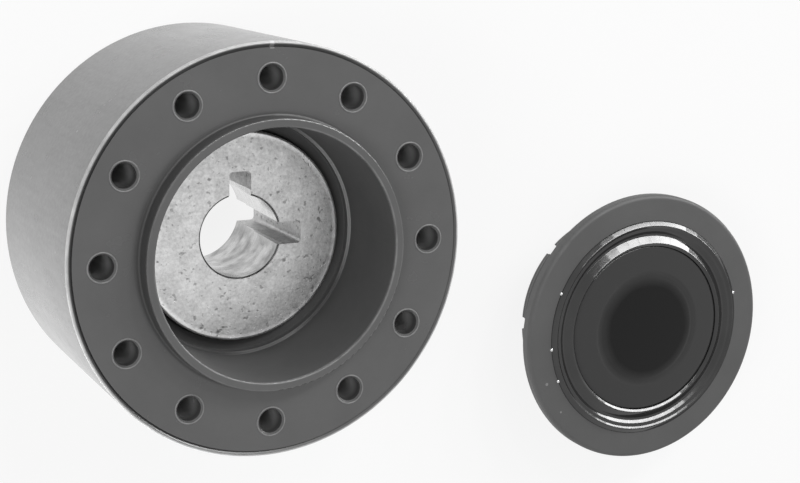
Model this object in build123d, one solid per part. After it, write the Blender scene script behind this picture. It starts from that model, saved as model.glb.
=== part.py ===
"""Boat steering wheel hub standing on its back, with its centre cap taken off and laid beside it.

All sizes are in millimetres. The origin is on the shaft axis in the plane of the hub's back,
+Z points to the steering wheel, +Y to 12 o'clock and +X to 3 o'clock.
"""
import os
from math import acos, cos, degrees, radians, sin, tan

from build123d import *

# Screw holes for the wheel, in the front face
screw_count = 12
screw_pcd = 70.0
screw_d = 5.0
screw_depth = 20.0
screw_lead = 0.25

# Moulded hub body, outside; the front rim lies screw_edge outside the screw circle
screw_edge = 7.2
body_h = 46.0
wall_draft = 1.0
rim_round = 0.5
rim_line_gap = 0.1
rim_line_w = 0.6
rim_line_depth = 0.5

# Collar that centres the wheel, round the mouth of the recess
collar_h = 4.0
collar_wall = 1.75
collar_root = 0.4
collar_round = 0.3

# Recess for the shaft's end, with a small ledge and a floor ring round the insert
recess_d = 51.5
recess_draft = 0.45
ledge_w = 0.6
well_depth = 1.6
floor_ring_w = 2.25

# Cored underside of the body
outer_wall = 3.1
front_wall = 4.0
cup_wall = 3.0
cup_floor = 3.0
core_draft = 0.5
core_round = 1.2
stem_wall = 3.2
rib_t = 2.4
screw_boss_wall = 2.2
screw_boss_floor = 3.0

# Bore for the tapered steering shaft, wide end at the back, with its keyways
shaft_d = 19.05
taper_ratio = 12.0
mouth_clear = 0.375
mouth_len = 6.5
bore_break = 0.4
key_w = 4.8
key_depth = 3.7
key_round = 0.8

# Cast metal insert round the bore
insert_len = 25.9
insert_setback = 3.5
flange_t = 4.0
flange_proud = 2.0
flange_gap = 0.4
flange_round = 0.5
key_wall = 2.9
stem_corner = 2.0
stem_fit = 0.1
lock_depth = 1.2
lock_w = 3.0

# Moulded centre cap, which covers the collar
cap_overhang = 5.0
cap_t = 2.9
cap_top_round = 1.0
cap_under_round = 0.4
cap_floor = 1.6
cap_fit = 0.25
skirt_len = 13.0
skirt_wall = 1.8
finger_count = 8
finger_gap = 3.0
finger_root = 3.0
grip_rise = 0.3
grip_w = 1.6
grip_from_tip = 1.2

# Glossy ring set in the cap, inside its matt margin; its widths run inwards and share one slope
cap_margin = 6.2
bezel_seat = 1.6
bezel_fit = 0.05
bezel_rise = 0.1
bezel_slope = 35.0
bezel_round = 0.12
ridge_out_w = 1.05
ridge_in_w = 0.65
land_w = 0.6
valley_out_w = 0.85
valley_floor_w = 0.45
valley_in_w = 1.7
crest_in_w = 0.7

# Domed disc inside the ring
disc_fit = 0.1
disc_drop = 0.05
disc_crown = 0.9
disc_round = 0.3
channel_d = 26.6
channel_w = 1.6
channel_depth = 0.15

# Place of the cap on the bench, measured from the shaft axis
cap_gap = 40.9
cap_bearing = -17.2

# How far a cutting shape runs past the face that it opens
past = 1.0

# Radii and heights that follow from the sizes above
body_r = screw_pcd / 2 + screw_edge
recess_r = recess_d / 2
collar_r = recess_r + collar_wall
collar_z = body_h + collar_h
ledge_out_r = recess_r - recess_draft
well_r = ledge_out_r - ledge_w
pocket_r = well_r - floor_ring_w
flange_r = pocket_r - flange_gap
back_z = insert_setback
front_z = back_z + insert_len
seat_z = front_z - flange_t
floor_z = front_z - flange_proud
ledge_z = floor_z + well_depth
mouth_r = shaft_d / 2 + mouth_clear
key_reach = mouth_r + key_depth
stem_flat_r = key_reach + key_wall
stem_corner_r = stem_flat_r / cos(radians(30))
plate_z = body_h - front_wall
cup_r = ledge_out_r + cup_wall
cup_floor_z = seat_z - cup_floor
back_r = body_r - wall_draft
core_r = back_r - outer_wall
boss_r = stem_corner_r + stem_fit + stem_wall
screw_boss_r = screw_d / 2 + screw_boss_wall
hole_floor_z = body_h - screw_depth
cap_r = collar_r + cap_overhang
cap_top_z = skirt_len + cap_t
cap_pocket_z = cap_top_z - bezel_seat
skirt_root_r = recess_r - cap_fit
skirt_tip_r = skirt_root_r - recess_draft * skirt_len / (collar_z - ledge_z)
skirt_in_r = skirt_tip_r - skirt_wall
bezel_r = cap_r - cap_margin

# The ring's top from its outer edge inwards, each step a width and whether it climbs, lies flat or falls
bezel_steps = [
    (ridge_out_w, 1),
    (ridge_in_w, -1),
    (land_w, 0),
    (valley_out_w, -1),
    (valley_floor_w, 0),
    (valley_in_w, 1),
    (crest_in_w, -1),
]
bezel_in_r = bezel_r - bezel_fit - sum(width for width, climb in bezel_steps)
bezel_climb = sum(width * climb for width, climb in bezel_steps) * tan(radians(bezel_slope))
bezel_in_z = cap_top_z + bezel_rise + bezel_climb
disc_r = bezel_in_r - disc_fit
disc_edge_z = bezel_in_z - disc_drop


def turned(corners):
    """A solid turned about Z from the corners (radius, height, rounding) of its half section."""
    points = [(corner[0], corner[1]) for corner in corners]
    rounds = [corner[2] if len(corner) > 2 else 0 for corner in corners]
    outline = FilletPolyline(*points, radius=rounds, close=True)
    return revolve(Plane.XZ * make_face(outline), Axis.Z)


def turned_edges(edges):
    """A solid turned about Z from the edges of its half section."""
    return revolve(Plane.XZ * make_face(edges), Axis.Z)


def column(radius, low, high):
    """A round bar on the Z axis between two heights."""
    return Pos(0, 0, low) * Cylinder(radius, high - low, align=(Align.CENTER, Align.CENTER, Align.MIN))


def around(count, radius, piece):
    """Copies of a piece at even steps round the Z axis, the first one at 12 o'clock."""
    return [place * piece for place in PolarLocations(radius, count, start_angle=90)]


def body_blank():
    """The body's outside, collar, recess and insert seat, before its underside is cored."""
    line_r = body_r - rim_round - rim_line_gap
    return turned([
        (0, 0),
        (back_r, 0, rim_round),
        (body_r, body_h, rim_round),
        (line_r, body_h),
        (line_r - rim_line_w, body_h - rim_line_depth),
        (line_r - rim_line_w, body_h),
        (collar_r, body_h, collar_root),
        (collar_r, collar_z, collar_round),
        (recess_r, collar_z, collar_round),
        (ledge_out_r, ledge_z, ledge_w / 4),
        (well_r, ledge_z, ledge_w / 4),
        (well_r, floor_z, ledge_w / 2),
        (pocket_r, floor_z),
        (pocket_r, seat_z),
        (0, seat_z),
    ])


def underside_ring():
    """The hollow round the central boss and the recess cup, open to the back."""
    return turned([
        (0, -past),
        (0, back_z),
        (boss_r, back_z),
        (boss_r + core_draft, cup_floor_z, core_round),
        (cup_r, cup_floor_z, core_round),
        (cup_r + core_draft, plate_z, core_round),
        (core_r - core_draft, plate_z, core_round),
        (core_r, 0),
        (core_r, -past),
    ])


def underside_core():
    """The hollow less the screw bosses and the ribs that tie them to the central boss."""
    inner = boss_r - stem_wall / 2
    outer = back_r - outer_wall / 2
    rib = Pos((inner + outer) / 2, 0, back_z) * Box(
        outer - inner, rib_t, body_h, align=(Align.CENTER, Align.CENTER, Align.MIN)
    )
    boss = column(screw_boss_r, hole_floor_z - screw_boss_floor, body_h)
    ribs = around(screw_count, 0, rib)
    bosses = around(screw_count, screw_pcd / 2, boss)
    return underside_ring() - ribs - bosses


def screw_hole():
    """One blind hole from the front face down, with a small lead-in."""
    lead = Pos(0, 0, body_h - screw_lead) * Cone(
        screw_d / 2, screw_d / 2 + screw_lead, screw_lead, align=(Align.CENTER, Align.CENTER, Align.MIN)
    )
    return column(screw_d / 2, hole_floor_z, body_h) + lead


def stem(fit, low, high):
    """The insert's six-sided stem with its locking groove, or the pocket that fits it."""
    hexagon = RegularPolygon(stem_flat_r + fit, 6, major_radius=False)
    hexagon = fillet(hexagon.vertices(), stem_corner)
    bar = Pos(0, 0, low) * extrude(hexagon, amount=high - low)
    middle = (back_z + seat_z) / 2
    half = lock_w / 2 - fit
    groove_r = stem_flat_r - lock_depth + fit
    wide = stem_corner_r + 2 * fit + past
    collar = column(wide, middle - half, middle + half) - column(groove_r, middle - half, middle + half)
    return bar - collar


def make_hub_body():
    """The moulded body: blank, cored underside, stem pocket and screw holes."""
    body = body_blank() - underside_core()
    body -= stem(stem_fit, back_z - past, seat_z + past)
    body -= around(screw_count, screw_pcd / 2, screw_hole())
    return body


def shaft_bore():
    """The 1 in 12 taper, its straight mouth at the back and the broken edge at the front."""
    mouth_z = back_z + mouth_len
    taper_h = front_z - mouth_z
    small_r = shaft_d / 2 - taper_h / taper_ratio / 2
    taper = Pos(0, 0, mouth_z) * Cone(
        shaft_d / 2, small_r, taper_h, align=(Align.CENTER, Align.CENTER, Align.MIN)
    )
    front_break = Pos(0, 0, front_z - bore_break) * Cone(
        small_r, small_r + bore_break, bore_break, align=(Align.CENTER, Align.CENTER, Align.MIN)
    )
    return taper + front_break + column(mouth_r, back_z - past, mouth_z)


def keyway():
    """One keyway from the axis out towards 3 o'clock, right through the insert."""
    slot = Pos(0, 0, back_z - past) * Box(
        key_reach, key_w, insert_len + 2 * past, align=(Align.MIN, Align.CENTER, Align.MIN)
    )
    far_edges = slot.edges().filter_by(Axis.Z).sort_by(Axis.X)[-2:]
    return fillet(far_edges, key_round)


def make_shaft_insert():
    """The cast insert: flange, stem, tapered bore and the keyways at 12 and 3 o'clock."""
    flange = turned([
        (0, seat_z),
        (flange_r, seat_z, flange_round / 2),
        (flange_r, front_z, flange_round),
        (0, front_z),
    ])
    insert = flange + stem(0, back_z, seat_z)
    insert -= shaft_bore()
    insert -= keyway()
    insert -= Rot(0, 0, 90) * keyway()
    return insert


def grip_bead():
    """The small ridge round the fingers' tips that grips the recess wall."""
    slope = (skirt_root_r - skirt_tip_r) / skirt_len
    low = grip_from_tip
    mid = low + grip_w / 2
    high = low + grip_w
    ridge = Polyline(
        (skirt_in_r + skirt_wall / 2, low),
        (skirt_tip_r + slope * low, low),
        (skirt_tip_r + slope * mid + grip_rise, mid),
        (skirt_tip_r + slope * high, high),
        (skirt_in_r + skirt_wall / 2, high),
        close=True,
    )
    return turned_edges(ridge)


def make_cap_body():
    """The moulded cap: wide flange, pocket for the ring and disc, and a skirt of spring fingers."""
    cap = turned([
        (0, cap_pocket_z - cap_floor),
        (skirt_in_r, cap_pocket_z - cap_floor, skirt_wall / 2),
        (skirt_in_r, 0),
        (skirt_tip_r, 0, skirt_wall / 4),
        (skirt_root_r, skirt_len),
        (cap_r, skirt_len, cap_under_round),
        (cap_r, cap_top_z, cap_top_round),
        (bezel_r, cap_top_z),
        (bezel_r, cap_pocket_z),
        (0, cap_pocket_z),
    ])
    cap += grip_bead()
    reach = 2 * (skirt_root_r - skirt_in_r + past)
    slot = Pos(0, 0, -past) * Box(
        reach, finger_gap, skirt_len - finger_root + past, align=(Align.CENTER, Align.CENTER, Align.MIN)
    )
    return cap - around(finger_count, skirt_in_r + skirt_wall / 2, slot)


def make_cap_bezel():
    """The glossy ring: a ridge outside, a valley, and a wide cone up to a crest beside the disc."""
    radius = bezel_r - bezel_fit
    height = cap_top_z + bezel_rise
    corners = [(bezel_in_r, cap_pocket_z), (radius, cap_pocket_z), (radius, height)]
    for width, climb in bezel_steps:
        radius -= width
        height += width * climb * tan(radians(bezel_slope))
        corners.append((radius, height, bezel_round))
    return turned(corners)


def make_cap_disc():
    """The domed disc, with one shallow channel round its middle."""
    crown_z = disc_edge_z + disc_crown
    ball_r = (disc_r ** 2 + disc_crown ** 2) / (2 * disc_crown)
    edge_angle = degrees(acos(disc_r / ball_r))
    section = make_face([
        Line((0, cap_pocket_z), (disc_r, cap_pocket_z)),
        Line((disc_r, cap_pocket_z), (disc_r, disc_edge_z)),
        CenterArc((0, crown_z - ball_r), ball_r, edge_angle, 90 - edge_angle),
        Line((0, crown_z), (0, cap_pocket_z)),
    ])
    section = fillet(section.vertices().sort_by_distance((disc_r, disc_edge_z, 0))[0], disc_round)
    channel_r = channel_d / 2
    surface_z = crown_z - channel_r ** 2 / (2 * ball_r)
    channel = turned([
        (channel_r - channel_w / 2, surface_z - channel_depth, channel_depth / 3),
        (channel_r + channel_w / 2, surface_z - channel_depth, channel_depth / 3),
        (channel_r + channel_w / 2 + channel_depth, surface_z + past),
        (channel_r - channel_w / 2 - channel_depth, surface_z + past),
    ])
    return revolve(Plane.XZ * section, Axis.Z) - channel


cap_reach = body_r + cap_gap + cap_r
cap_place = Pos(cap_reach * cos(radians(cap_bearing)), cap_reach * sin(radians(cap_bearing)), 0)

pieces = {
    "hub_body": make_hub_body(),
    "shaft_insert": make_shaft_insert(),
    "cap_body": cap_place * make_cap_body(),
    "cap_bezel": cap_place * make_cap_bezel(),
    "cap_disc": cap_place * make_cap_disc(),
}

os.makedirs("parts", exist_ok=True)
for name, piece in pieces.items():
    export_step(piece, f"parts/{name}.step")
    box = piece.bounding_box()
    print(name, "volume", round(piece.volume), "from", box.min, "to", box.max)
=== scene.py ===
# %% [markdown]
# # A boat steering wheel hub with its centre cap
# The hub is one dark moulded body that carries a cast metal insert at the bottom of a deep recess.
# Its cap lies beside it: a matt moulding with a glossy ring and a glossy disc.
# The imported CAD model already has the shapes, so it is loaded first and nothing in it is moved.
# What follows adds the studio, the finishes and the small things that repeat.

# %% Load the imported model
from math import cos, pi, radians, sin

import bmesh
import bpy
from mathutils import Matrix, Vector


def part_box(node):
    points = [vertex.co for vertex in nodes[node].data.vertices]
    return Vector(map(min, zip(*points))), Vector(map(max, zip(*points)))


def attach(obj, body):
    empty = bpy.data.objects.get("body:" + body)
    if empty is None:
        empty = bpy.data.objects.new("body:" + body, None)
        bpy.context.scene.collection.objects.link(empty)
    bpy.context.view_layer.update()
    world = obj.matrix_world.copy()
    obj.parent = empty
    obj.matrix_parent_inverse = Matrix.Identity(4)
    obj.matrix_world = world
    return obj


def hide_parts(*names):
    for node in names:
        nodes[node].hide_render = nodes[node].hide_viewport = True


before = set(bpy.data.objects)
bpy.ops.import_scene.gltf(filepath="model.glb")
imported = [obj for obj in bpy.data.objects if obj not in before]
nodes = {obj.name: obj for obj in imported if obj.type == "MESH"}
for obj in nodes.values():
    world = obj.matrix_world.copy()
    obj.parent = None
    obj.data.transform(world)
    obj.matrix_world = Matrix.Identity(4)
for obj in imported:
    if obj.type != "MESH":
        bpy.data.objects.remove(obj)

mm = 0.001
scene = bpy.context.scene
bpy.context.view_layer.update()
for name in sorted(nodes):
    low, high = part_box(name)
    print(name, "is", [round(side / mm, 1) for side in high - low], "mm")

# %% [markdown]
# ## The camera
# The photograph looks down on the hub as it stands on its back, a little from its left.
# The lens and the camera's place were worked out from the twelve holes and the round outlines.
# The camera is aimed at a point on the wheel face and then rolled by one degree.

# %% Place the camera
eye = Vector((-145.556, 84.316, 390.917)) * mm
aim_point = Vector((28.56, -0.04, 46.0)) * mm
roll = radians(1.03)

back = (eye - aim_point).normalized()
right = Vector((0, 1, 0)).cross(back).normalized()
upright = Matrix((right, back.cross(right), back)).transposed()

camera = bpy.data.objects.new("camera", bpy.data.cameras.new("camera"))
scene.collection.objects.link(camera)
camera.data.lens = 86.647
camera.data.sensor_width = 36.0
camera.data.clip_start = 0.01
camera.matrix_world = Matrix.Translation(eye) @ (upright @ Matrix.Rotation(roll, 3, "Z")).to_4x4()
scene.camera = camera
print("camera is", round((eye - aim_point).length / mm), "mm from the wheel face")

# %% [markdown]
# ## Helpers for node trees
# Finishes and Geometry Nodes are both made of nodes with options and inputs. They could be added
# and linked one by one, but three short helpers keep the formulas readable. The first adds a node,
# sets its options, and fills each input or links it to a socket. The second adds a Math node,
# because formulas take many of those, and the third stretches a value from one range to another.

# %% Helpers for nodes
def add(tree, kind, inputs=None, **options):
    """Adds a node, sets its options, and fills or links its inputs, found by name or by number."""
    node = tree.nodes.new(kind)
    for option, value in options.items():
        setattr(node, option, value)
    for key, value in (inputs or {}).items():
        if isinstance(value, bpy.types.NodeSocket):
            tree.links.new(value, node.inputs[key])
        else:
            node.inputs[key].default_value = value
    return node


def maths(tree, operation, *values):
    """The result of one Math node, as a socket."""
    return add(tree, "ShaderNodeMath", dict(enumerate(values)), operation=operation).outputs[0]


def spread(tree, value, low, high, lowest=0, highest=1):
    """A value stretched from the range low-high to the range lowest-highest, and held there."""
    inputs = {
        "Value": value, "From Min": low, "From Max": high, "To Min": lowest, "To Max": highest,
    }
    return add(tree, "ShaderNodeMapRange", inputs).outputs[0]


# %% [markdown]
# ## The studio: floor and surroundings
# The photograph has a white background. Bright lamps on a white floor would give one, but they
# would wash out the object too. So the floor and the world look white to the camera and in
# reflections, through the Light Path node, while the light that falls on the object stays plain.
# The floor keeps a small share of its real shading, so the shadows under the parts stay visible.
# The Standard view transform then shows each colour about as it is written.

# %% World and floor
def seen_directly(tree):
    """1 for rays from the camera, a glossy surface or glass, and 0 for diffuse light."""
    path = add(tree, "ShaderNodeLightPath")
    seen = maths(tree, "MAXIMUM", path.outputs["Is Camera Ray"], path.outputs["Is Glossy Ray"])
    return maths(tree, "MAXIMUM", seen, path.outputs["Is Transmission Ray"])


scene.view_settings.view_transform = "Standard"

soft_fill = 0.46
world = bpy.data.worlds.new("studio")
scene.world = world
world.use_nodes = True
tree = world.node_tree
background = tree.nodes["Background"]
background.inputs["Color"].default_value = (1, 1, 1, 1)
strength = spread(tree, seen_directly(tree), 0, 1, soft_fill, 1)
tree.links.new(strength, background.inputs["Strength"])

floor_glow = 0.85
paper_tone = 0.8
paper = bpy.data.materials.new("studio_paper")
paper.use_nodes = True
tree = paper.node_tree
matt = add(tree, "ShaderNodeBsdfDiffuse", {"Color": (paper_tone, paper_tone, paper_tone, 1)})
glow = add(tree, "ShaderNodeEmission", {"Color": (1, 1, 1, 1), "Strength": 1.0})
glowing = maths(tree, "MULTIPLY", seen_directly(tree), floor_glow)
mixed = add(tree, "ShaderNodeMixShader", {0: glowing, 1: matt.outputs[0], 2: glow.outputs[0]})
tree.links.new(mixed.outputs[0], tree.nodes["Material Output"].inputs["Surface"])

half_floor = 1.5
floor_z = -0.05 * mm
corners = [(-half_floor, -half_floor), (half_floor, -half_floor),
           (half_floor, half_floor), (-half_floor, half_floor)]
mesh = bpy.data.meshes.new("floor")
mesh.from_pydata([(x, y, floor_z) for x, y in corners], [], [(0, 1, 2, 3)])
mesh.materials.append(paper)
floor = bpy.data.objects.new("floor", mesh)
scene.collection.objects.link(floor)
print("floor is", 2 * half_floor, "m wide")

# %% [markdown]
# ## The studio: the light that the ring mirrors
# The cap's ring has flat bands that slope 35 degrees, and the photograph shows bright arcs on
# them. A band mirrors to the eye what lies in one direction, and that direction turns as the band
# goes round. So the main light is a curved strip that follows those directions, where one large
# panel would fill the bands from end to end. Its parts are short, which hides the joints between
# them in the arcs, and they get narrower at both ends, so that the arcs fade out.
# Every second part is only there for the reflections, because the whole strip would light the
# lower wall of the recess more than the photograph shows.

# %% Helpers for lights
def at_turn(radius, degrees, height):
    """A point at a radius from the Z axis, some degrees round it, and at a height."""
    turn = radians(degrees)
    return Vector((radius * cos(turn), radius * sin(turn), height))


def light_between(name, start, end, tall, brightness, target):
    """A rectangular light that spans two points, turned about that line to face its target."""
    lamp = bpy.data.lights.new(name, "AREA")
    lamp.shape = "RECTANGLE"
    lamp.size, lamp.size_y = (end - start).length, tall
    lamp.energy = brightness * pi * lamp.size * lamp.size_y
    centre = (start + end) / 2
    along = (end - start).normalized()
    across = (centre - target).cross(along).normalized()
    facing = Matrix((along, across, along.cross(across))).transposed()
    light = bpy.data.objects.new(name, lamp)
    light.matrix_world = Matrix.Translation(centre) @ facing.to_4x4()
    light.visible_camera = False
    scene.collection.objects.link(light)
    return light


# %% The strip
bezel_low, bezel_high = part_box("cap_bezel")
cap_centre = Vector(((bezel_low.x + bezel_high.x) / 2, (bezel_low.y + bezel_high.y) / 2, 0))
ring_top = cap_centre + Vector((0, 0, bezel_high.z))
band_slope = radians(35)
to_eye = (eye - ring_top).normalized()

strip_reach = 0.80
strip_height = 0.12
strip_brightness = 19.0
strip_turns = range(42, 139, 8)
strip_points = []
for turn in strip_turns:
    faces = at_turn(sin(band_slope), turn, cos(band_slope))
    mirrored = 2 * faces.dot(to_eye) * faces - to_eye
    strip_points.append(ring_top + strip_reach * mirrored)

end_share, share_step = 0.35, 0.25
watts = 0
last = len(strip_points) - 2
for part, (start, end) in enumerate(zip(strip_points, strip_points[1:])):
    tall = strip_height * min(1.0, end_share + share_step * min(part, last - part))
    light = light_between(f"strip_light_{part}", start, end, tall, strip_brightness, ring_top)
    light.visible_diffuse = part % 2 == 0
    watts += light.data.energy
print("the strip has", last + 1, "parts and", round(watts, 1), "W")

# %% [markdown]
# ## The studio: cards that fill the sides
# Two small cards stand close to the hub, one beyond each side outline that the camera sees. They
# brighten the outer wall there. They are so low that the wall's own rim keeps their light off the
# face and the collar, which stay dark as in the photograph. They are kept out of reflections,
# because from the side the satin wall would show them as two glaring patches. Light linking makes
# them pass the floor by, so that they leave no bright patches on it.

# %% Low cards beside the wall
passed_by = bpy.data.collections.new("passed_by_cards")
passed_by.objects.link(floor)
passed_by.collection_objects[0].light_linking.link_state = "EXCLUDE"

card_reach = 0.135
card_height = 11 * mm
card_tall = 16 * mm
card_half_turn = 30
card_brightness = {228: 28.0, 66: 11.0}
for azimuth, brightness in card_brightness.items():
    turns = azimuth - card_half_turn, azimuth + card_half_turn
    start, end = [at_turn(card_reach, turn, card_height) for turn in turns]
    target = Vector((0, 0, card_height))
    card = light_between(f"low_card_{azimuth}", start, end, card_tall, brightness, target)
    card.visible_glossy = False
    card.light_linking.receiver_collection = passed_by
    print("low card at", azimuth, "degrees has", round(card.data.energy, 2), "W")

# %% [markdown]
# A large soft card stands on the left. It reaches into the recess and lights its right wall.

# %% Large card on the left
side_turn = 185
side_rise = radians(50)
side_reach = 0.80
side_half = 0.15
side_brightness = 6.5
recess_middle = Vector((0, 0, 30 * mm))
centre = at_turn(cos(side_rise), side_turn, sin(side_rise)) * side_reach
half = at_turn(1, side_turn + 90, 0) * side_half
card = light_between(
    "side_card", centre - half, centre + half, 2 * side_half, side_brightness, recess_middle,
)
card.visible_glossy = False
print("side card has", round(card.data.energy, 2), "W")

# %% [markdown]
# ## Helpers for finishes
# A finish is one Principled shader whose colour, roughness and bump come from patterns. Each
# pattern is noise, or a zone of radius, angle and height, and reads Object coordinates. Painted
# images would need the parts unwrapped, while these stay on the part from every side, have no
# seams and follow its real sizes. A zone is 1 inside and 0 outside, so zones are multiplied.

# %% Helpers for patterns
def new_finish(name, **values):
    """A material with its shader's own values set, and its Object coordinates for patterns."""
    material = bpy.data.materials.new(name)
    material.use_nodes = True
    tree = material.node_tree
    shader = tree.nodes["Principled BSDF"]
    for key, value in values.items():
        shader.inputs[key].default_value = value
    return material, tree, shader, add(tree, "ShaderNodeTexCoord").outputs["Object"]


def noise(tree, coords, scale, detail=3.0, roughness=0.55):
    """A noise value between 0 and 1, with features of about 1 / scale metres."""
    inputs = {"Vector": coords, "Scale": scale, "Detail": detail, "Roughness": roughness}
    return add(tree, "ShaderNodeTexNoise", inputs).outputs[0]


def varied(tree, coords, scale, lowest, highest, detail=3.0, roughness=0.55, used=(0.3, 0.7)):
    """Noise that varies from lowest to highest, by its middle part, where most of it lies."""
    return spread(tree, noise(tree, coords, scale, detail, roughness), *used, lowest, highest)


def chained(tree, operation, *values):
    """One Math operation that carries on through several values."""
    result = values[0]
    for value in values[1:]:
        result = maths(tree, operation, result, value)
    return result


def sum_of(tree, *values):
    """The sum of several values."""
    return chained(tree, "ADD", *values)


def all_of(tree, *values):
    """The product of several values: zones, and the strength of what they hold."""
    return chained(tree, "MULTIPLY", *values)


def below(tree, value, limit):
    """1 where a value is below its limit, and 0 elsewhere."""
    return maths(tree, "LESS_THAN", value, limit)


def above(tree, value, limit):
    """1 where a value is above its limit, and 0 elsewhere."""
    return maths(tree, "GREATER_THAN", value, limit)


def away_from(tree, value, place):
    """How far a value is from a place, on either side of it."""
    return maths(tree, "ABSOLUTE", maths(tree, "SUBTRACT", value, place))


def dust(tree, coords, cells, share, radius, tone):
    """Rare pale grains: a small share of the cells has one, its radius given in cell widths."""
    spots = add(tree, "ShaderNodeTexVoronoi", {"Vector": coords, "Scale": cells}).outputs
    pick = add(tree, "ShaderNodeSeparateColor", {0: spots["Color"]}).outputs[0]
    return all_of(tree, below(tree, pick, share), below(tree, spots["Distance"], radius), tone)


def raised(tree, height, strength, distance, shader):
    """A bump made from a height value, linked to the shader."""
    inputs = {"Height": height, "Strength": strength, "Distance": distance}
    tree.links.new(add(tree, "ShaderNodeBump", inputs).outputs[0], shader.inputs["Normal"])


# %% Helpers for zones round an axis
def length(tree, x, y):
    """The length of the flat vector (x, y)."""
    squares = maths(tree, "ADD", maths(tree, "MULTIPLY", x, x), maths(tree, "MULTIPLY", y, y))
    return maths(tree, "SQRT", squares)


def polar(tree, coords):
    """A point's distance from the Z axis, its angle round it, and its height."""
    x, y, z = add(tree, "ShaderNodeSeparateXYZ", {0: coords}).outputs
    return length(tree, x, y), maths(tree, "ARCTAN2", y, x), z


def from_nearest(tree, reach, angle, steps, radius):
    """The distance to the nearest of the evenly spaced points on a circle round the Z axis."""
    half_step = radians(180 / steps)
    turned = maths(tree, "WRAP", angle, half_step, -half_step)
    outward = maths(tree, "MULTIPLY", reach, maths(tree, "COSINE", turned))
    across = maths(tree, "MULTIPLY", reach, maths(tree, "SINE", turned))
    return length(tree, maths(tree, "SUBTRACT", outward, radius), across)


def towards(tree, angle, degrees):
    """The cosine of the angle to a direction: 1 that way, 0 across it and -1 the other way."""
    return maths(tree, "COSINE", maths(tree, "SUBTRACT", angle, radians(degrees)))


# %% [markdown]
# ## Satin moulded plastic
# The body is injection moulded in dark plastic with a satin skin. Close up it has a slow change of
# tone from the way the plastic flowed, and a few grains of dust. Down in the screw holes it is
# painted paler, more with depth, as painted light against their shade. The outer wall is painted
# paler as a sheen, and speckled, with draw marks along the mould's pull, so their noise is
# stretched along Z.

# %% Sizes that the hub's finish follows
hub_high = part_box("hub_body")[1]
hub_r = hub_high.x
collar_top = hub_high.z
collar_height = 4 * mm
collar_r = 27.5 * mm
face_z = collar_top - collar_height
recess_r = 25.75 * mm
ledge_depth = 17 * mm
ledge_z = face_z - ledge_depth
hole_count = 12
hole_circle_r = 35.0 * mm
hole_r = 2.5 * mm
hole_depth = 20 * mm
margin = 0.1 * mm
print("wheel face at", round(face_z / mm, 2), "mm and ledge at", round(ledge_z / mm, 2), "mm")

# %% Skin, screw holes and outer wall
hub_plastic, tree, shader, coords = new_finish("satin_hub_plastic", IOR=1.55)
reach, angle, height = polar(tree, coords)
flow = varied(tree, coords, 42, 0.074, 0.093, detail=5, roughness=0.65)
specks = dust(tree, coords, 260, 0.02, 0.10, 0.14)

from_hole = from_nearest(tree, reach, angle, hole_count, hole_circle_r)
# Painted light: the screw holes get paler with depth, against their shade.
painted_hole_light = spread(tree, height, face_z - 1.5 * mm, face_z - 7.0 * mm, 0.0, 0.42)
hole_light_tone = all_of(
    tree, below(tree, from_hole, hole_r + margin),
    above(tree, height, face_z - hole_depth - margin), painted_hole_light,
)

# Painted sheen: the outer wall is made paler, with draw marks and speckle on it.
wall_inner_r, wall_top = hub_r - 1.4 * mm, face_z - 0.6 * mm
on_wall = all_of(tree, above(tree, reach, wall_inner_r), below(tree, height, wall_top))
pull = add(tree, "ShaderNodeMapping", {"Vector": coords, "Scale": (1, 1, 0.10)}).outputs[0]
sheen_and_draw_marks = varied(tree, pull, 700, 0.065, 0.088)
speckle = varied(tree, coords, 1100, -0.022, 0.022, detail=4, roughness=0.7)
wall_sheen_and_marks = all_of(tree, on_wall, sum_of(tree, sheen_and_draw_marks, speckle))
tone = sum_of(tree, flow, specks, hole_light_tone, wall_sheen_and_marks)
print(hub_plastic.name, "starts with", len(tree.nodes), "nodes")

# %% [markdown]
# ## Painted highlights on the hub's edges
# The front edge of the rim is painted pale as a highlight, and a short pale tick crosses it at
# 12 o'clock. The collar's top gets a faint painted highlight along its outer edge, and a stronger
# one along its inner edge, except at its upper left, which is left in shade. The mesh's Pointiness
# could find edges, but it takes them all alike, so each edge here is a narrow zone of radius and
# height.

# %% Paint highlights on the edges
# Painted highlight along the front edge of the rim.
near_edge = spread(tree, reach, hub_r - 0.6 * mm, hub_r - 0.3 * mm)
near_front = spread(tree, height, face_z - 0.7 * mm, face_z - 0.4 * mm)
rim_highlight_tone = varied(tree, coords, 220, 0.32, 0.48, used=(0.35, 0.65))
rim_highlight = all_of(tree, near_edge, near_front, rim_highlight_tone)

tick_half, tick_tone = 0.45 * mm, 0.13
sideways = maths(tree, "ABSOLUTE", maths(tree, "MULTIPLY", reach, maths(tree, "COSINE", angle)))
tick = all_of(
    tree, below(tree, sideways, tick_half), above(tree, angle, 0.0),
    above(tree, reach, hub_r - 1.5 * mm), above(tree, height, face_z - 1.0 * mm), tick_tone,
)

# Painted highlight on the collar's top edges, left out towards its shaded upper left.
shaded_turn, outer_share = 130, 0.25
on_top = above(tree, height, collar_top - 0.35 * mm)
near_outer = spread(tree, reach, collar_r - 0.45 * mm, collar_r - 0.2 * mm)
near_mouth = spread(tree, reach, recess_r + 0.4 * mm, recess_r + 0.15 * mm)
highlight_side = spread(tree, towards(tree, angle, shaded_turn), 0.80, 0.55)
outer_edge = all_of(tree, on_top, near_outer, outer_share)
inner_edge = all_of(tree, on_top, near_mouth, highlight_side)
collar_highlight_tone = varied(tree, coords, 200, 0.04, 0.12, used=(0.35, 0.65))
collar_highlight = all_of(tree, sum_of(tree, outer_edge, inner_edge), collar_highlight_tone)
tone = sum_of(tree, tone, rim_highlight, tick, collar_highlight)
print(hub_plastic.name, "has", len(tree.nodes), "nodes with its painted edge highlights")
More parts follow.
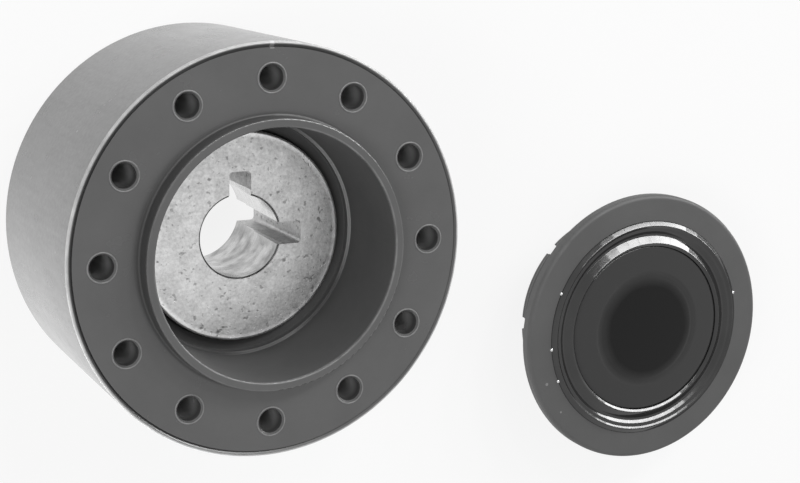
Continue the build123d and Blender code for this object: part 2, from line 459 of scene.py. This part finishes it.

# %% [markdown]
# ## Collar and recess of the hub
# The collar's outer wall and its foot are duller than the face, and painted darker as shade. The
# wall of the recess is dull too, and its small ledge gets an uneven painted highlight: most at the
# right, a little at the bottom and hardly elsewhere. The skin's gloss changes slowly, and its very
# fine grain is a bump.

# %% Dull the walls, paint shade on the collar and a highlight on the ledge, and dress the hub
# Painted shade: the collar's outer wall and its foot are darkened.
collar_shade_factor = 0.60
below_top = spread(tree, height, collar_top - 0.5 * mm, collar_top - 0.8 * mm)
near_collar = spread(tree, reach, collar_r + 0.5 * mm, collar_r + 1.0 * mm, 1, 0)
collar_wall = all_of(tree, below_top, near_collar, above(tree, reach, collar_r - margin))
tone = maths(tree, "MULTIPLY", tone, spread(tree, collar_wall, 0, 1, 1.0, collar_shade_factor))

in_recess = below(tree, reach, recess_r + 0.05 * mm)
# Painted highlight on the ledge: most at the right, a little at the bottom.
ledge_highlight_arcs = [
    {"middle": 20, "half arc": 48, "painted highlight": 0.22},
    {"middle": -74, "half arc": 24, "painted highlight": 0.09},
]
ledge_highlight = 0.015
for arc in ledge_highlight_arcs:
    from_middle = away_from(tree, angle, radians(arc["middle"]))
    half_arc = radians(arc["half arc"])
    lit_arc = spread(tree, from_middle, half_arc / 2, half_arc, arc["painted highlight"], 0)
    ledge_highlight = sum_of(tree, lit_arc, ledge_highlight)
at_ledge = spread(tree, away_from(tree, height, ledge_z), 0.1 * mm, 0.3 * mm, 1, 0)
tone = sum_of(tree, tone, all_of(tree, in_recess, at_ledge, ledge_highlight))
tree.links.new(tone, shader.inputs["Base Color"])

recess_dull, collar_dull = 0.72, 0.30
satin = varied(tree, coords, 160, 0.22, 0.28)
dull = maths(
    tree, "MAXIMUM", all_of(tree, below_top, in_recess, recess_dull),
    all_of(tree, collar_wall, collar_dull),
)
tree.links.new(sum_of(tree, satin, dull), shader.inputs["Roughness"])
raised(tree, noise(tree, coords, 2600), 0.30, 0.01 * mm, shader)
nodes["hub_body"].material_slots[0].material = hub_plastic
print(hub_plastic.name, "has", len(tree.nodes), "nodes")

# %% [markdown]
# ## Cast aluminium
# The insert is cast and left almost as it came from the mould. Its grey skin is mottled over one
# to four millimetres, with uneven dark pits in two sizes. The rounded edge of its flange is rubbed
# bright, and painted brighter still as a highlight. One noise can't give both sizes of pits, so
# each has its own, and only the peaks of it.

# %% Cast skin of the shaft insert
insert_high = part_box("shaft_insert")[1]
flange_r, insert_top = insert_high.x, insert_high.z
insert_metal, tree, shader, coords = new_finish("cast_insert_metal", Metallic=1.0)
reach, angle, height = polar(tree, coords)

mottle = varied(tree, coords, 260, -0.07, 0.07, detail=2, roughness=0.5)
grain = varied(tree, coords, 1400, 0.48, 0.74, detail=5, roughness=0.75)
fine_pits = spread(tree, noise(tree, coords, 1000, 1, 0.4), 0.66, 0.74)
coarse_pits = spread(tree, noise(tree, coords, 430, 2, 0.6), 0.68, 0.74)
fine_share, pit_tone, brightest = 0.7, 0.42, 0.93
pits = maths(tree, "MAXIMUM", maths(tree, "MULTIPLY", fine_pits, fine_share), coarse_pits)
tone = all_of(tree, sum_of(tree, mottle, grain), spread(tree, pits, 0, 1, 1.0, pit_tone))
# Rubbed and painted highlight on the rounded edge of the flange.
rubbed_and_highlight = spread(tree, reach, flange_r - 1.4 * mm, flange_r - 0.6 * mm, 0, 0.40)
tone = maths(tree, "MINIMUM", sum_of(tree, tone, rubbed_and_highlight), brightest)
print(insert_metal.name, "starts with", len(tree.nodes), "nodes")

# %% [markdown]
# ## Turned bore
# The bore is turned: it is smoother than the casting, with fine lines that run round it, so their
# noise is stretched across Z. Between the two keyways it is painted bright as a reflection, and it
# is stained in patches elsewhere. A second material would need faces of its own, so a zone inside
# the bore's radius changes the one that the insert has.

# %% Turned bore of the shaft insert
bore_zone_r = 9.95 * mm
between_keys = 45
in_bore = all_of(
    tree, below(tree, reach, bore_zone_r), below(tree, height, insert_top - margin),
)
outside = maths(tree, "SUBTRACT", 1.0, in_bore)
turned = add(tree, "ShaderNodeMapping", {"Vector": coords, "Scale": (0.04, 0.04, 1)}).outputs[0]
turning = varied(tree, turned, 4000, 0.68, 0.88)
stains = varied(tree, coords, 260, 0.38, 0.80, detail=2, used=(0.35, 0.65))
# Painted reflection: the bore is brighter towards the side between the keyways.
painted_reflection_side = spread(tree, towards(tree, angle, between_keys), 0.0, 0.8)
stains_and_reflection = maths(tree, "MAXIMUM", stains, painted_reflection_side)
tone = sum_of(tree, all_of(tree, in_bore, turning, stains_and_reflection), all_of(tree, tone, outside))
tree.links.new(tone, shader.inputs["Base Color"])

bore_gloss, bore_flat, pit_depth = 0.22, 0.85, -0.8
cast_skin = varied(tree, coords, 900, 0.36, 0.52)
roughness = maths(tree, "SUBTRACT", cast_skin, all_of(tree, in_bore, bore_gloss))
tree.links.new(roughness, shader.inputs["Roughness"])
skin = sum_of(tree, noise(tree, coords, 1300, 4, 0.65), all_of(tree, pits, pit_depth))
kept = maths(tree, "SUBTRACT", 1.0, all_of(tree, in_bore, bore_flat))
raised(tree, all_of(tree, skin, kept), 0.6, 0.06 * mm, shader)
nodes["shaft_insert"].material_slots[0].material = insert_metal
print(insert_metal.name, "has", len(tree.nodes), "nodes")

# %% [markdown]
# ## Matt plastic of the cap
# The cap is a smaller moulding. Its even skin is rougher than the hub's, so it shows no gloss.

# %% Matt plastic of the cap body
cap_plastic, tree, shader, coords = new_finish("matt_cap_plastic", IOR=1.5)
tone = varied(tree, coords, 60, 0.066, 0.079, detail=4)
tone = sum_of(tree, tone, dust(tree, coords, 240, 0.015, 0.09, 0.12))
tree.links.new(tone, shader.inputs["Base Color"])
tree.links.new(varied(tree, coords, 200, 0.52, 0.62), shader.inputs["Roughness"])
raised(tree, noise(tree, coords, 2200), 0.45, 0.03 * mm, shader)
nodes["cap_body"].material_slots[0].material = cap_plastic
print(cap_plastic.name, "has", len(tree.nodes), "nodes")

# %% [markdown]
# ## Glossy plastic of the ring and the disc
# Both are polished black plastic. Their tone comes mostly from what they reflect, so the colour is
# almost black and the roughness is low, with faint smears. The disc is darker in its middle, and
# the edge of that dark middle wavers a little.

# %% Glossy plastics
bezel_gloss, tree, shader, coords = new_finish("polished_ring_plastic", IOR=1.5)
tree.links.new(varied(tree, coords, 90, 0.016, 0.026), shader.inputs["Base Color"])
tree.links.new(varied(tree, coords, 300, 0.05, 0.10), shader.inputs["Roughness"])

dark_r, pale_r = 10.5 * mm, 14.2 * mm
disc_gloss, tree, shader, coords = new_finish("polished_disc_plastic", IOR=1.30)
centred = add(
    tree, "ShaderNodeVectorMath", {0: coords, 1: tuple(cap_centre)}, operation="SUBTRACT",
).outputs[0]
flat = add(
    tree, "ShaderNodeVectorMath", {0: centred, 1: (1, 1, 0)}, operation="MULTIPLY",
).outputs[0]
radius = add(tree, "ShaderNodeVectorMath", {0: flat}, operation="LENGTH").outputs["Value"]
wobble = varied(tree, coords, 120, -0.7 * mm, 0.7 * mm, used=(0, 1))
tone = spread(tree, sum_of(tree, radius, wobble), dark_r, pale_r, 0.003, 0.040)
tree.links.new(tone, shader.inputs["Base Color"])
tree.links.new(varied(tree, coords, 260, 0.10, 0.18), shader.inputs["Roughness"])
print("gloss finishes made round", [round(side / mm, 1) for side in cap_centre])

# %% [markdown]
# ## Rules in Geometry Nodes
# The ring is one small section swept round a circle, and the disc is a dome with a channel round
# its middle. Both follow a rule, so each is a Geometry Nodes tree with its sizes as named inputs.
# The tree runs once and its result is kept as a plain mesh. The section's parts meet end to end,
# so merging their shared points closes the shape, and only then can its faces be turned outwards.

# %% Helpers for trees that make a piece
weld_distance = 0.001 * mm


def new_rule(name, sizes):
    """A Geometry Nodes tree with one named input for each size, and the sockets that give them."""
    rule = bpy.data.node_groups.new(name, "GeometryNodeTree")
    rule.interface.new_socket("Geometry", in_out="OUTPUT", socket_type="NodeSocketGeometry")
    kinds = {int: "NodeSocketInt", float: "NodeSocketFloat", Vector: "NodeSocketVector"}
    for size, value in sizes.items():
        rule.interface.new_socket(size, in_out="INPUT", socket_type=kinds[type(value)])
    return rule, rule.nodes.new("NodeGroupInput").outputs


def end_rule(rule, shape, finish):
    """Ends a tree as the export needs it: instances made real, and the finish set."""
    real = add(rule, "GeometryNodeRealizeInstances", {0: shape}).outputs[0]
    inputs = {"Geometry": real, "Material": finish}
    dressed = add(rule, "GeometryNodeSetMaterial", inputs).outputs[0]
    rule.links.new(dressed, rule.nodes.new("NodeGroupOutput").inputs[0])


def made_by(rule, name, sizes, sharp=35, stands_for=()):
    """Runs a tree once and keeps its result as a plain closed mesh on the one body, root."""
    piece = bpy.data.objects.new(name, bpy.data.meshes.new(name))
    scene.collection.objects.link(piece)
    modifier = piece.modifiers.new("rule", "NODES")
    modifier.node_group = rule
    for item in rule.interface.items_tree:
        if item.in_out == "INPUT":
            modifier[item.identifier] = sizes[item.name]
    evaluated = piece.evaluated_get(bpy.context.evaluated_depsgraph_get())
    mesh = bpy.data.meshes.new_from_object(evaluated)
    piece.modifiers.remove(modifier)
    piece.data = mesh
    shape = bmesh.new()
    shape.from_mesh(mesh)
    bmesh.ops.remove_doubles(shape, verts=shape.verts, dist=weld_distance)
    bmesh.ops.recalc_face_normals(shape, faces=shape.faces)
    open_edges = sum(edge.is_boundary for edge in shape.edges)
    shape.to_mesh(mesh)
    shape.free()
    mesh.shade_smooth()
    mesh.set_sharp_from_angle(angle=radians(sharp))
    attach(piece, "root")
    if stands_for:
        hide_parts(*stands_for)
    print(name, "has", len(mesh.polygons), "faces and", open_edges, "open edges")


# %% Helpers for steps that the trees share
def negative(rule, value):
    """A value with its sign changed."""
    return maths(rule, "MULTIPLY", value, -1.0)


def position(rule):
    """The X, Y and Z of the point that is worked on."""
    point = rule.nodes.new("GeometryNodeInputPosition").outputs[0]
    return add(rule, "ShaderNodeSeparateXYZ", {0: point}).outputs


def moved(rule, shape, way):
    """A geometry that is moved by a vector."""
    inputs = {"Geometry": shape, "Translation": way}
    return add(rule, "GeometryNodeTransform", inputs).outputs[0]


def welded(rule, shape):
    """A geometry whose shared points are merged."""
    inputs = {"Geometry": shape, "Distance": weld_distance}
    return add(rule, "GeometryNodeMergeByDistance", inputs).outputs[0]


def circle(rule, radius, steps):
    """A round curve in the XY plane."""
    inputs = {"Resolution": steps, "Radius": radius}
    return add(rule, "GeometryNodeCurvePrimitiveCircle", inputs).outputs[0]


def tube(rule, path, section):
    """A section that is carried along a path."""
    inputs = {"Curve": path, "Profile Curve": section}
    return add(rule, "GeometryNodeCurveToMesh", inputs).outputs[0]


# %% Helpers for a section that is swept round a circle
def corner(rule, radius, height):
    """A corner of a section: X is the radius, and Y points down, as Curve to Mesh lays it."""
    return add(rule, "ShaderNodeCombineXYZ", {"X": radius, "Y": negative(rule, height)}).outputs[0]


def line(rule, start, end):
    """A straight part of a section."""
    return add(rule, "GeometryNodeCurvePrimitiveLine", {"Start": start, "End": end}).outputs[0]


def joined(rule, parts):
    """Several parts as one geometry."""
    together = rule.nodes.new("GeometryNodeJoinGeometry")
    for part in parts:
        rule.links.new(part, together.inputs[0])
    return together.outputs[0]


def closed(rule, corners, rounding, steps):
    """A closed section through its corners, rounded and cut into equal steps."""
    sides = [line(rule, start, end) for start, end in zip(corners, corners[1:] + corners[:1])]
    wire = add(rule, "GeometryNodeCurveToMesh", {"Curve": joined(rule, sides)}).outputs[0]
    loop = add(rule, "GeometryNodeMeshToCurve", {"Mesh": welded(rule, wire)}).outputs[0]
    inputs = {"Curve": loop, "Count": 4, "Radius": rounding, "Limit Radius": True}
    loop = add(rule, "GeometryNodeFilletCurve", inputs, mode="POLY").outputs[0]
    return add(rule, "GeometryNodeResampleCurve", {"Curve": loop, "Count": steps}).outputs[0]


def swept(rule, parts, radius, steps, centre):
    """The section's parts, joined and swept round a circle, then put at the centre."""
    inward = add(rule, "ShaderNodeCombineXYZ", {"X": negative(rule, radius)}).outputs[0]
    section = moved(rule, joined(rule, parts), inward)
    turned = tube(rule, circle(rule, radius, steps), section)
    return welded(rule, moved(rule, turned, centre))


# %% [markdown]
# ## The glossy ring
# From outside in, the ring has a ridge, a narrow flat land, a valley and a wide band up to a crest
# beside the disc. All its bands share one slope, so its top is a list of widths, each of which
# climbs, lies flat or falls. Spin would make it too, but here each width stays a named input.
# The corners are rounded a little, and the section is then cut into short equal steps, because a
# band made of one long step would borrow the bend of its neighbours' shading.

# %% Sweep the ring
cap_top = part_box("cap_body")[1].z
ring_sizes = {
    "Outer radius": (bezel_high.x - bezel_low.x) / 2,
    "Seat height": bezel_low.z,
    "Foot height": cap_top + 0.1 * mm,
    "Slope": band_slope,
    "Ridge outer width": 1.05 * mm,
    "Ridge inner width": 0.65 * mm,
    "Land width": 0.6 * mm,
    "Valley outer width": 0.85 * mm,
    "Valley floor width": 0.45 * mm,
    "Valley inner width": 1.7 * mm,
    "Crest inner width": 0.7 * mm,
    "Rounding": 0.12 * mm,
    "Section steps": 200,
    "Steps round": 240,
    "Centre": cap_centre,
}
up, level, down = 1.0, 0.0, -1.0
climbs = {
    "Ridge outer width": up,
    "Ridge inner width": down,
    "Land width": level,
    "Valley outer width": down,
    "Valley floor width": level,
    "Valley inner width": up,
    "Crest inner width": down,
}
rule, size = new_rule("ring_rule", ring_sizes)
radius, height, seat = size["Outer radius"], size["Foot height"], size["Seat height"]
rise = maths(rule, "TANGENT", size["Slope"])
corners = [corner(rule, radius, seat), corner(rule, radius, height)]
for width, climb in climbs.items():
    radius = maths(rule, "SUBTRACT", radius, size[width])
    step = maths(rule, "MULTIPLY", size[width], rise)
    height = maths(rule, "MULTIPLY_ADD", step, climb, height)
    corners.append(corner(rule, radius, height))
corners.append(corner(rule, radius, seat))
section = closed(rule, corners, size["Rounding"], size["Section steps"])
ring = swept(rule, [section], size["Outer radius"], size["Steps round"], size["Centre"])
end_rule(rule, ring, bezel_gloss)
made_by(rule, "glossy_ring", ring_sizes, stands_for=["cap_bezel"])

# %% [markdown]
# ## The domed disc
# The disc's height is a formula of the distance from its middle: a low dome, less a shallow
# channel, less a quick fall at the very edge that rounds it. Powers give the three their forms:
# a low one bends all the way, and a high one only near the end. The formula moves the points of a
# straight line, and the line is then swept round like the ring's section.

# %% Sweep the disc
disc_low, disc_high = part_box("cap_disc")
disc_sizes = {
    "Radius": (disc_high.x - disc_low.x) / 2,
    "Seat height": disc_low.z,
    "Top height": disc_high.z,
    "Dome rise": 0.9 * mm,
    "Edge round": 0.25 * mm,
    "Channel radius": 13.3 * mm,
    "Channel half width": 0.8 * mm,
    "Channel depth": 0.15 * mm,
    "Section steps": 150,
    "Steps round": 200,
    "Centre": cap_centre,
}
dome_power, edge_power, channel_power = 2.0, 60.0, 4.0
rule, size = new_rule("disc_rule", disc_sizes)
radius, top, seat = size["Radius"], size["Top height"], size["Seat height"]
rail = line(rule, corner(rule, 0.0, 0.0), corner(rule, radius, 0.0))
inputs = {"Curve": rail, "Count": size["Section steps"]}
rail = add(rule, "GeometryNodeResampleCurve", inputs).outputs[0]

from_middle = position(rule)[0]
share = maths(rule, "DIVIDE", from_middle, radius)
dome = maths(rule, "MULTIPLY", size["Dome rise"], maths(rule, "POWER", share, dome_power))
edge = maths(rule, "MULTIPLY", size["Edge round"], maths(rule, "POWER", share, edge_power))
off = maths(rule, "SUBTRACT", from_middle, size["Channel radius"])
off = maths(rule, "ABSOLUTE", maths(rule, "DIVIDE", off, size["Channel half width"]))
dip = maths(rule, "EXPONENT", negative(rule, maths(rule, "POWER", off, channel_power)))
channel = maths(rule, "MULTIPLY", size["Channel depth"], dip)
fall = sum_of(rule, dome, edge, channel)

lift = add(rule, "ShaderNodeCombineXYZ", {"Y": maths(rule, "SUBTRACT", fall, top)}).outputs[0]
crown = add(rule, "GeometryNodeSetPosition", {"Geometry": rail, "Offset": lift}).outputs[0]
dome_foot = maths(rule, "SUBTRACT", top, size["Dome rise"])
edge_z = maths(rule, "SUBTRACT", dome_foot, size["Edge round"])
rim, foot = corner(rule, radius, edge_z), corner(rule, radius, seat)
parts = [crown, line(rule, rim, foot), line(rule, foot, corner(rule, 0.0, seat))]
end_rule(rule, swept(rule, parts, radius, size["Steps round"], size["Centre"]), disc_gloss)
made_by(rule, "domed_disc", disc_sizes, stands_for=["cap_disc"])

# %% [markdown]
# ## Pale rims round the screw holes
# Each hole has a fine pale ring round its mouth, a bead whose pale colour is a painted highlight of
# the hole's edge. Twelve could be modelled one by one, but they are all alike, so one small bead is
# swept round a hole and then placed at the twelve points of a circle.

# %% Place a ring at each hole
# Painted highlight: the bead is pale to stand for the lit edge of each hole.
hole_rim_plastic, tree, shader, coords = new_finish("painted_highlight_hole_rim_plastic", Roughness=0.45, IOR=1.5)
tree.links.new(varied(tree, coords, 700, 0.15, 0.24), shader.inputs["Base Color"])

ring_steps, bead_steps = 40, 8
hole_rim_sizes = {
    "Hole count": hole_count,
    "Hole circle radius": hole_circle_r,
    "Ring radius": hole_r + 0.48 * mm,
    "Bead radius": 0.15 * mm,
    "Face height": face_z,
}
rule, size = new_rule("hole_rim_rule", hole_rim_sizes)
path = circle(rule, size["Ring radius"], ring_steps)
ring = tube(rule, path, circle(rule, size["Bead radius"], bead_steps))
inputs = {"Vertices": size["Hole count"], "Radius": size["Hole circle radius"]}
places = add(rule, "GeometryNodeMeshCircle", inputs).outputs[0]
rings = add(rule, "GeometryNodeInstanceOnPoints", {"Points": places, "Instance": ring}).outputs[0]
lift = add(rule, "ShaderNodeCombineXYZ", {"Z": size["Face height"]}).outputs[0]
end_rule(rule, moved(rule, rings, lift), hole_rim_plastic)
made_by(rule, "screw_hole_witness_rings", hole_rim_sizes)

# %% [markdown]
# ## Crumbs on the casting
# A casting that isn't machined carries tiny raised crumbs. Bump alone would leave its outline
# smooth, so they are real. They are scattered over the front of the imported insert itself, so none
# of them lands over the bore or a keyway, and the seed keeps them in place.

# %% Scatter the crumbs
crumb_sizes = {
    "Crumbs per square metre": 160000.0,
    "Smallest": 0.05 * mm,
    "Largest": 0.16 * mm,
    "Front height": insert_top,
    "Seed": 7,
}
front_depth = 0.01 * mm
crumb_squash = 0.5
rule, size = new_rule("crumb_rule", crumb_sizes)
casting = add(rule, "GeometryNodeObjectInfo", {"Object": nodes["shaft_insert"]}).outputs["Geometry"]
front_z = maths(rule, "SUBTRACT", size["Front height"], front_depth)
spots = add(rule, "GeometryNodeDistributePointsOnFaces", {
    "Mesh": casting, "Selection": above(rule, position(rule)[2], front_z),
    "Density": size["Crumbs per square metre"], "Seed": size["Seed"],
}).outputs[0]
crumb = add(rule, "GeometryNodeMeshIcoSphere", {"Radius": 1.0, "Subdivisions": 2}).outputs[0]
scale = add(rule, "FunctionNodeRandomValue", {
    2: size["Smallest"], 3: size["Largest"], "Seed": size["Seed"],
}).outputs[1]
squashed = maths(rule, "MULTIPLY", scale, crumb_squash)
scales = add(rule, "ShaderNodeCombineXYZ", {"X": scale, "Y": scale, "Z": squashed}).outputs[0]
crumbs = add(rule, "GeometryNodeInstanceOnPoints", {
    "Points": spots, "Instance": crumb, "Scale": scales,
}).outputs[0]
end_rule(rule, crumbs, insert_metal)
made_by(rule, "casting_crumbs", crumb_sizes, sharp=180)

# %% [markdown]
# ## Pips that hold the ring
# Four small polished pips sit over the joint between the matt cap and the ring, and glint in the
# photograph. They aren't evenly spaced, so the points of a circle can't place them, and each has
# a place of its own among the tree's inputs. All four are one ball, flattened a little.

# %% Set the pips on the joint
pip_gloss, tree, shader, coords = new_finish("polished_pip", Metallic=0.6, Roughness=0.12)
tree.links.new(varied(tree, coords, 2000, 0.55, 0.75), shader.inputs["Base Color"])

pip_squash = 0.7
joint_r = ring_sizes["Outer radius"]
pip_places = {
    f"Place at {turn} degrees": cap_centre + at_turn(joint_r, turn, cap_top)
    for turn in (156, 186, 204, 14)
}
pip_sizes = {"Pip radius": 0.42 * mm, **pip_places}
rule, size = new_rule("pip_rule", pip_sizes)
inputs = {"Segments": 20, "Rings": 12, "Radius": size["Pip radius"]}
ball = add(rule, "GeometryNodeMeshUVSphere", inputs).outputs[0]
inputs = {"Geometry": ball, "Scale": (1, 1, pip_squash)}
pip = add(rule, "GeometryNodeTransform", inputs).outputs[0]
pips = [moved(rule, pip, size[place]) for place in pip_places]
end_rule(rule, joined(rule, pips), pip_gloss)
made_by(rule, "ring_pips", pip_sizes)
